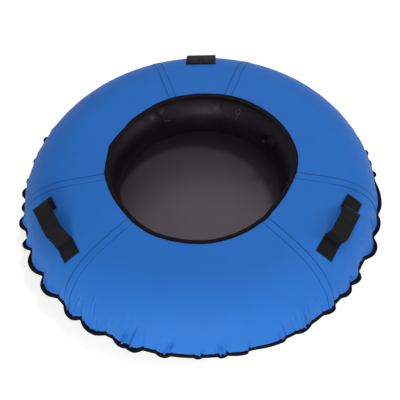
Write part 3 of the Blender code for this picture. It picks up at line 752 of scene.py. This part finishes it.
def make_panels():
    rows = top_rows()
    radius = section_at(TOP_SECTION, rows)[0]
    for name, middle in (NARROW_PANELS | WIDE_PANELS).items():
        middle = math.radians(middle)
        half = NARROW_HALF if name in NARROW_PANELS else math.pi / 3 - NARROW_HALF
        directions = panel_directions(middle - half, middle + half, radius)
        points = cover_point(directions, rows[:, None])
        points = np.concatenate([points, [tucked(points[-1], directions[-1], -0.0010)]], 0)
        across = (directions - middle) * radius[:, None]
        across = np.concatenate([across, across[-1:]], 0)
        down = np.append(rows, rows[-1] + TUCK)[:, None]
        cloth = grid_object(name + "_cloth", points[::-1], (across[::-1], down[::-1]), "cover_top")
        add_thickness(cloth, TOP_CLOTH, 1.0)
        settle(cloth, "cover_top", "tube", name, *seam_tapes(name, middle, half))


def seam_tapes(name, middle, half):
    """The tape nodes behind a narrow panel's two seams."""
    if name not in NARROW_PANELS:
        return []
    near = (abs(abs(turn_from(seam, middle)) - half) < 0.01 for seam in SEAMS)
    return [f"seam_tape_{i}" for i, found in enumerate(near, 1) if found]


def tucked(row, direction, rise):
    """A row of points carried on into the edge tape."""
    return row + around(TUCK, direction, rise)


def base_point(direction, along):
    """Points of the base cloth: along is the distance out from the edge of its flat, below 0 inside it."""
    direction, along = np.broadcast_arrays(direction, along)
    out, up, n_r, _ = section_at(BASE_SECTION, along)
    to_seam = BASE_LENGTH - np.clip(along, 0, BASE_LENGTH)
    edge_up = np.where(along < 0, 0.0, edge_shift(direction)[1] * np.exp(-to_seam / SEAM_FADE))
    return around(out + np.abs(n_r) * gather_depth(direction, to_seam), direction, up + edge_up)


def make_base():
    flat = np.concatenate([[-CROWN_RADIUS + 0.001], np.linspace(-CROWN_RADIUS + 0.02, -0.004, 34)])
    near = np.concatenate([np.arange(0, 0.05, 0.0022), np.arange(0.05, 0.09, 0.004)])
    rows = np.concatenate([flat, np.linspace(0, BASE_LENGTH - 0.094, 12), (BASE_LENGTH - near)[::-1]])
    directions = full_turn(1200)
    points = base_point(directions, rows[:, None])
    points = np.concatenate([points, [tucked(points[-1], directions, 0.0008)]], 0)
    rows = np.append(rows, rows[-1] + TUCK)
    reach = (CROWN_RADIUS + rows)[:, None]
    flat = (reach * np.cos(directions), reach * np.sin(directions))
    base = grid_object("base_cloth", points, flat, "cover_base", ring=True, filled=True)
    add_thickness(base, BASE_CLOTH, 1.0)
    settle(base, "cover_base", "tube", "base_cover")


# Tapes that bind the two edges


def sweep(name, profile, directions, centre, material, lean=0.0):
    """A closed profile of (out, up) points swept round the cover along centre's (radius, height)."""
    out, up = leaned(*np.array(profile).T[:, :, None], lean)
    points = around(centre[0] + out, directions, centre[1] + up)
    flat = (directions * centre[0].mean(), reach_along(profile)[:, None])
    return grid_object(name, points, flat, material, ring=True, tube=True)


def tape_profile(inner, outer, half, puff):
    """Section of a tape folded over an edge: flat above and below, with a round nose at outer."""
    nose = [math.pi / 2 - math.pi * i / 8 for i in range(1, 8)]
    side = math.copysign(half, outer - inner)
    end = outer - side
    top = [(inner, half * 0.8), (inner + 0.15 * (outer - inner), half), ((inner + outer) / 2, half + puff)]
    top.append((end, half))
    tip = [(end + side * math.cos(a), half * math.sin(a)) for a in nose]
    return top + tip + [(x, -y) for x, y in top[::-1]]


def make_edge_binding():
    directions = full_turn(2400)
    out, up = edge_shift(directions)
    centre = (SEAM_RADIUS + out, SEAM_HEIGHT + up)
    profile = tape_profile(*EDGE_TAPE)
    tape = sweep("edge_tape", profile, directions, centre, "binding", edge_lean(directions))
    settle(tape, "binding", "tube", "edge_binding")
    stitch_ring("edge_stitches", edge_stitch, EDGE_PITCH)


def edge_stitch(direction):
    out, up = edge_shift(direction)
    on_out, on_up = leaned(*EDGE_STITCH, edge_lean(direction))
    return around(SEAM_RADIUS + out + on_out, direction, SEAM_HEIGHT + up + on_up)


def make_rim_binding():
    directions = full_turn(1440)
    centre = (HOLE_RADIUS + hole_stray(directions), CROWN_HEIGHT - TOP_CLOTH / 2)
    profile = tape_profile(*RIM_TAPE)
    tape = sweep("rim_tape", profile, directions, centre, "binding", RIM_LEAN)
    settle(tape, "binding", "tube", "rim_binding")
    stitch_ring("rim_stitches", rim_stitch, RIM_PITCH)


def rim_stitch(direction):
    out, up = RIM_STITCH
    return around(HOLE_RADIUS + hole_stray(direction) + out, direction, CROWN_HEIGHT + up)


# Stitching


def add_threads(name, ends, slot, material="thread", radius=THREAD_RADIUS):
    """Short rounded threads between pairs of points, as one finished piece."""
    starts, stops = np.array(ends).swapaxes(0, 1)
    run = stops - starts
    length = np.linalg.norm(run, axis=1, keepdims=True)
    run = run / length
    side = np.cross(run, [0.0, 0.0, 1.0])
    flat = np.linalg.norm(side, axis=1, keepdims=True)
    side = np.where(flat > 1e-6, side / np.maximum(flat, 1e-6), [1.0, 0.0, 0.0])
    over = np.cross(side, run)
    angles = full_turn(THREAD_SIDES)[:, None]
    ring = side[:, None] * np.cos(angles) + over[:, None] * np.sin(angles)
    rings = [
        (starts + run * length * share + over * radius * rise)[:, None] + radius * size * ring
        for share, size, rise in THREAD_FORM
    ]
    points = np.stack(rings, 1)
    index = np.arange(points.size // 3).reshape(points.shape[:3])
    after = np.roll(index, -1, axis=2)
    walls = np.stack([index[:, :-1], after[:, :-1], after[:, 1:], index[:, 1:]], -1).reshape(-1, 4)
    faces = walls.tolist() + index[:, 0, ::-1].tolist() + index[:, -1].tolist()
    settle(add_mesh(name, points, faces, material), slot, "tube")


def stitch_ring(name, place, pitch):
    """A row of stitches round the cover, through the points that place gives for directions."""
    route = place(np.linspace(0, math.tau, 3000))
    add_threads(name, stitches_along(route, pitch), "binding")


def stitches_along(route, pitch=STITCH_PITCH, length=STITCH_LENGTH):
    """Pairs of points for the threads that show along a route."""
    starts = np.arange(0, reach_along(route)[-1] - length, pitch)
    return list(zip(points_at(route, starts), points_at(route, starts + length)))


def box_stitches(rows):
    """Threads of a sewn box on the upper face of a strap, from rows of its middle surface."""
    top = rows[:, 1:-1] + np.array([0, 0, BOX_RISE])
    ends = []
    for line in (top[0], top[:, -1], top[-1, ::-1], top[::-1, 0]):
        ends += stitches_along(line, BOX_PITCH, BOX_LENGTH)
    return ends


def make_seam_stitches():
    along = np.linspace(-FLAT_WIDTH + 0.001, TOP_LENGTH - 0.002, 500)
    radius = section_at(TOP_SECTION, along)[0]
    ends = []
    for seam in SEAMS:
        for side in (-1, 1):
            route = cover_point(seam + side * STITCH_ROW / radius, along, THREAD_RADIUS * 0.4)
            ends += stitches_along(route)
    add_threads("panel_stitches", ends, "binding")


# Webbing


def plain_cover(flat_x, flat_y):
    """(point, normal) of the cover with no gathers, above a place on the floor."""
    radius = math.hypot(flat_x, flat_y)
    length, section_r = TOP_SECTION[:2]
    along = radius - CROWN_RADIUS if radius < CROWN_RADIUS else np.interp(radius, section_r, length)
    _, height, n_r, n_z = section_at(TOP_SECTION, along)
    return np.array([flat_x, flat_y, height]), np.array([n_r * flat_x / radius, n_r * flat_y / radius, n_z])


def smooth_path(stops, count):
    """Points on a smooth curve through the stops, evenly spread by length."""
    stops = np.array(stops, float)
    padded = np.concatenate([[2 * stops[0] - stops[1]], stops, [2 * stops[-1] - stops[-2]]])
    found = []
    for a, b, c, d in zip(padded, padded[1:], padded[2:], padded[3:]):
        for t in np.linspace(0, 1, 12, endpoint=False):
            bends = (2 * a - 5 * b + 4 * c - d) * t**2 + (3 * b - a - 3 * c + d) * t**3
            found.append(0.5 * (2 * b + (c - a) * t + bends))
    found.append(stops[-1])
    found = np.array(found)
    return points_at(found, np.linspace(0, reach_along(found)[-1], count))


def compass(middle):
    """Unit vectors outwards and along the ring at a direction in degrees."""
    angle = math.radians(middle)
    return around(1.0, angle, 0.0), around(1.0, angle + math.pi / 2, 0.0)


def handle_points(middle, path):
    """Grid of a handle strap's middle surface: stations along it by places across it."""
    outward, tangent = compass(middle)
    _, (slope_out, _, slope_up) = plain_cover(HANDLE_RADIUS, 0.0)
    slope = math.atan2(slope_out, slope_up)
    rows = []
    for along, rise in path:
        flat = outward * HANDLE_RADIUS + tangent * along
        spot, normal = plain_cover(*flat[:2])
        lifted = smooth(rise / FREE_RISE)
        tilt = slope - HANDLE_LEAN * smooth(rise / LEAN_RISE)
        width = outward * math.cos(tilt) - np.array([0, 0, math.sin(tilt)])
        lift = rise + HANDLE_CLEAR
        row = []
        for share in np.linspace(-0.5, 0.5, 11) * STRAP_WIDTH:
            under, under_normal = plain_cover(*(flat + outward * math.cos(slope) * share)[:2])
            flexed = under + under_normal * lift
            straight = spot + normal * lift + width * share
            row.append(flexed * (1 - lifted) + straight * lifted)
        rows.append(row)
    return np.array(rows)


def bending_strap(name, points, nodes):
    """A strap in place of nodes, from the grid of its middle surface."""
    along = np.mean([reach_along(line) for line in points.swapaxes(0, 1)], 0)
    flat = (along[:, None], np.linspace(0, STRAP_WIDTH, points.shape[1]))
    strap = add_thickness(grid_object(name, points, flat, "webbing"), STRAP_CLOTH, 0.0, STRAP_BEVEL)
    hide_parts(*nodes)
    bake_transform(strap)


def make_handle(side, stops):
    middle = NARROW_PANELS[f"{side}_handle_panel"]
    points = handle_points(middle, smooth_path(np.array(stops) / 1000, HANDLE_STATIONS))
    half = len(points) // 2
    outward, tangent = compass(middle)
    for end, sign, part in (("a", -1, points[: half + 1]), ("b", 1, points[half:])):
        nodes = [f"{side}_handle_tab_{end}", f"{side}_handle_fold_{end}"]
        if end == "a":
            nodes.append(f"{side}_handle_grip")
        bending_strap(f"{side}_handle_strap_{end}", part, nodes)
    ends = box_stitches(points[5:31]) + box_stitches(points[-31:-5])
    add_threads(f"{side}_handle_stitches", ends, "webbing")


# Tow loops


def loop_path():
    """(outward, height) of the strap's middle line: over the sewn end, round the loop and back under."""
    spots = [plain_cover(0.0, TOW_START + TOW_TAB * share) for share in TOW_STOPS]
    upper, lower = ([(spot + normal * lift)[1:] for spot, normal in spots] for lift in TOW_LIFTS)
    loop = np.stack(leaned(*np.array(TOW_SHAPE).T / 1000, TOW_DROOP), -1) + TOW_HINGE.yz
    return smooth_path([*upper, *loop, *lower[::-1]], TOW_STATIONS)


def make_tow_loop(side, sideways):
    shares = np.linspace(-0.5, 0.5, 9)
    points = np.array([[(sideways + STRAP_WIDTH * s, y, z) for s in shares] for y, z in loop_path()])
    nodes = [f"{side}_tow_tab", f"{side}_tow_loop"]
    bending_strap(f"{side}_tow_strap", points, nodes)
    add_threads(f"{side}_tow_stitches", box_stitches(points[1:24]), "webbing")


# Inner tube


def tube_point(direction, angle, lift=0.0):
    """Points of the rubber tube: angle is 0 on its outer side and a quarter turn at its top."""
    power = 2 / SECTION_POWER
    out = np.sign(np.cos(angle)) * np.abs(np.cos(angle)) ** power
    up = np.sign(np.sin(angle)) * np.abs(np.sin(angle)) ** power
    radius = CROWN_RADIUS + (TUBE_HALF_WIDTH + lift) * out
    height = TUBE_MIDDLE + (TUBE_HALF_HEIGHT + lift) * up
    return around(radius, direction, height)


def tube_line(places):
    """Points on the rubber tube through (direction, angle) places in degrees, close together."""
    places = smooth_path(np.radians(places), 40)
    return tube_point(places[:, 0], places[:, 1], 0.0002)


def make_tube_marks():
    """What the mould and the handling leave: a splice, an oval ring, a short line and some scratches."""
    oval = [(62.9 + 1.3 * math.cos(a), 145 + 5 * math.sin(a)) for a in np.linspace(0, math.tau, 25)]
    lines = {
        "splice": ([(121.8, 138), (120.2, 147), (118.6, 156)], 0.0011, "thread"),
        "short_line": ([(75.6, 139.5), (75.4, 144.5), (75.2, 150)], 0.0010, "thread"),
        "oval_ring": (oval, 0.0006, "pale_scuff"),
        "oval_tail": ([(63.4, 154.5), (62.9, 157), (63.5, 159.5)], 0.0005, "pale_scuff"),
        "scratch": ([(117.5, 159), (115.5, 162), (113, 162.5)], 0.0005, "pale_scuff"),
        "speck": ([(70.2, 156), (69.9, 156.8), (69.6, 157.2)], 0.0006, "pale_scuff"),
    }
    for name, (places, radius, material) in lines.items():
        route = tube_line(places)
        add_threads(f"tube_{name}", list(zip(route[:-1], route[1:])), "butyl", material, radius)


def make_tube():
    directions = full_turn(540)
    angles = full_turn(180)[:, None]
    rise, width = MOULD_LINE
    points = tube_point(directions, angles, rise * bell((angles - math.pi) / width))
    flat = (directions * CROWN_RADIUS, angles * TUBE_HALF_WIDTH)
    tube = grid_object("rubber_tube", points, flat, "butyl", ring=True, tube=True)
    settle(tube, "butyl", "tube", "inner_tube")


# Valve


def lathe(name, profile, material):
    """A turned piece about the valve's axis, from (radius, height) points in mm."""
    x = VALVE_AXIS.orthogonal().normalized()
    x, y, z = np.array([x, VALVE_AXIS.cross(x), VALVE_AXIS])
    angles = full_turn(48)
    radius, height = np.array(profile).T[:, :, None, None] / 1000
    ring = np.cos(angles)[:, None] * x + np.sin(angles)[:, None] * y
    points = np.array(VALVE_PLACE) + height * z + radius * ring
    flat = (angles * 0.005, np.arange(len(profile))[:, None] * 0.001)
    return grid_object(name, points, flat, material, ring=True, tube=True)


def make_valve():
    settle(lathe("valve_patch", VALVE_SLEEVE, "valve_rubber"), "butyl", "tube", "valve_base")
    turns = [(out, up - TURN_PITCH * turn) for turn in range(THREAD_TURNS) for out, up in THREAD_TURN]
    stem = lathe("valve_tube", [*STEM_TOP, *turns, *STEM_FOOT], "valve_metal")
    settle(stem, "valve_metal", "tube", "valve_stem")
    settle(lathe("valve_dust_cap", VALVE_CAP, "cap_plastic"), "cap_plastic", "cap", "valve_cap")
    for name in ("valve_core", "valve_pin"):
        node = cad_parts[name]
        node.data.materials.clear()
        node.data.materials.append(materials["valve_metal"])


# Studio


def make_studio():
    corners = around(FLOOR_REACH * math.sqrt(2), full_turn(4) + math.pi / 4, -FLOOR_GAP)
    floor = add_mesh("studio_floor", corners, [(0, 1, 2, 3)], "floor")
    look = Nodes(materials["floor"].node_tree, "Principled BSDF")
    # Seen from far off the floor fades into the white behind it
    away = look.add("VectorMath", {0: look.place()}, "Value", operation="LENGTH")
    near, far = FLOOR_FADE
    span = {"From Min": near, "From Max": far, "To Min": FLOOR_LIFT, "To Max": 1.0}
    shown = look.add("MapRange", {"Value": away, **span}, "Result")
    look.fill(look.shader, {"Emission Color": (1, 1, 1, 1), "Emission Strength": look.seen_as(0.0, shown)})
    world = bpy.data.worlds.new("studio")
    world.use_nodes = True
    sky = Nodes(world.node_tree, "Background")
    sky.fill(sky.shader, {"Color": (1, 1, 1, 1), "Strength": sky.seen_as(WORLD_LIGHT, 1.0)})
    scene.world = world
    for name, place, size, power, colour in STUDIO_LIGHTS:
        data = bpy.data.lights.new(name, "AREA")
        data.shape = "SQUARE"
        data.size = size
        data.energy = power
        data.color = colour
        light = bpy.data.objects.new(name, data)
        light.location = place
        light.rotation_euler = (Vector(LIGHT_TARGET) - Vector(place)).to_track_quat("-Z", "Y").to_euler()
        scene.collection.objects.link(light)


materials = {
    "cover_top": cloth_material("blue_nylon", from_srgb(35, 102, 186), 0.55, 0.0006, 0.00010, 0.03),
    "cover_base": base_material("coated_base", from_srgb(45, 39, 45)),
    "binding": cloth_material("binding_tape", from_srgb(14, 11, 16), 0.8, 0.0009, 0.00015, 0.12, 0.09),
    "webbing": webbing_material("webbing", from_srgb(16, 15, 19)),
    "butyl": rubber_material("butyl_rubber", from_srgb(13, 9, 14)),
    "thread": plain_material("black_thread", from_srgb(8, 10, 18), 0.8, grain=900.0, specular=0.04),
    "valve_rubber": plain_material("valve_rubber", from_srgb(9, 8, 10), 0.6, specular=0.08),
    "valve_metal": plain_material("valve_brass", (0.62, 0.50, 0.28), 0.32, 1.0),
    "cap_plastic": plain_material("cap_plastic", from_srgb(13, 13, 15), 0.5, specular=0.15),
    "pale_scuff": plain_material("pale_scuff", from_srgb(92, 86, 92), 0.6, grain=700.0),
    "floor": plain_material("studio_floor", (0.93, 0.93, 0.93), 0.9, grain=900.0),
}

scene.view_settings.view_transform = "Standard"
make_camera()
make_studio()
make_panels()
make_base()
make_edge_binding()
make_rim_binding()
make_seam_stitches()
make_tube()
make_tube_marks()
make_valve()
make_handle("left", LEFT_ARCH)
make_handle("right", RIGHT_ARCH)
make_tow_loop("left", -TOW_PITCH / 2)
make_tow_loop("right", TOW_PITCH / 2)
